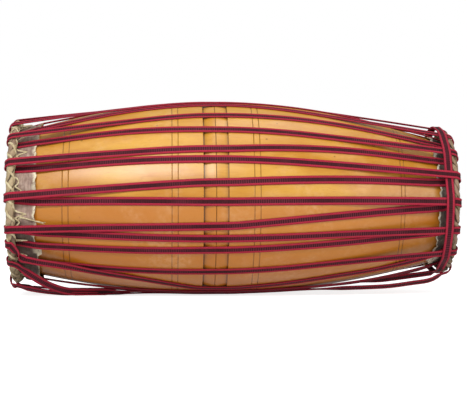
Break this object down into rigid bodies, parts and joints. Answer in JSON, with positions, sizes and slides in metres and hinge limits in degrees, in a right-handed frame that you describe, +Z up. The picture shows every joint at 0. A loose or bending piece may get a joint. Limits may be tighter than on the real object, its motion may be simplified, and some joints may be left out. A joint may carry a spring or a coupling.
{
  "type": "mridangam drum",
  "caption": "Two-headed wooden barrel drum with hide heads, plaited hoops and strap lacing, lying on its side and played by hand at both ends.",
  "frame": {"origin": "on the surface that the drum lies on, halfway along the drum and under its axis", "axes": "+X along the drum's axis from the bass end to the treble end, +Z up, -Y towards the viewer"},
  "size_m": [0.6099, 0.2685, 0.2684],
  "materials": {
    "wood": "varnished jackfruit wood, satin gloss",
    "ring_hide": "thick raw cowhide, matt, with hair follicles",
    "playing_skin": "thin goatskin, satin",
    "rawhide": "plaited rawhide, matt",
    "paste": "dried black tuning paste of stone powder and rice, matt",
    "straw": "dry straw, matt",
    "webbing": "woven crimson strap with a dark middle stripe"
  },
  "bodies": {
    "root": {"shell": "wood", "bass_skin": "playing_skin", "bass_ring": "ring_hide", "bass_hoop": "rawhide", "treble_under_ring": "playing_skin", "treble_skin": "playing_skin", "treble_ring": "ring_hide", "tuning_paste": "paste", "straw_1": "straw", "straw_2": "straw", "straw_3": "straw", "straw_4": "straw", "straw_5": "straw", "straw_6": "straw", "straw_7": "straw", "straw_8": "straw", "treble_hoop": "rawhide", "lace_run_01": "webbing", "lace_run_02": "webbing", "lace_run_03": "webbing", "lace_run_04": "webbing", "lace_run_05": "webbing", "lace_run_06": "webbing", "lace_run_07": "webbing", "lace_run_08": "webbing", "lace_run_09": "webbing", "lace_run_10": "webbing", "lace_run_11": "webbing", "lace_run_12": "webbing", "lace_run_13": "webbing", "lace_run_14": "webbing", "lace_run_15": "webbing", "lace_run_16": "webbing", "lace_run_17": "webbing", "lace_run_18": "webbing", "lace_run_19": "webbing", "lace_run_20": "webbing", "lace_run_21": "webbing", "lace_run_22": "webbing", "lace_run_23": "webbing", "lace_run_24": "webbing", "lace_run_25": "webbing", "lace_run_26": "webbing", "lace_run_27": "webbing", "lace_run_28": "webbing", "lace_run_29": "webbing", "lace_run_30": "webbing", "lace_run_31": "webbing", "lace_run_32": "webbing", "cross_strap": "webbing", "hide_string": "rawhide"}
  },
  "joints": []
}
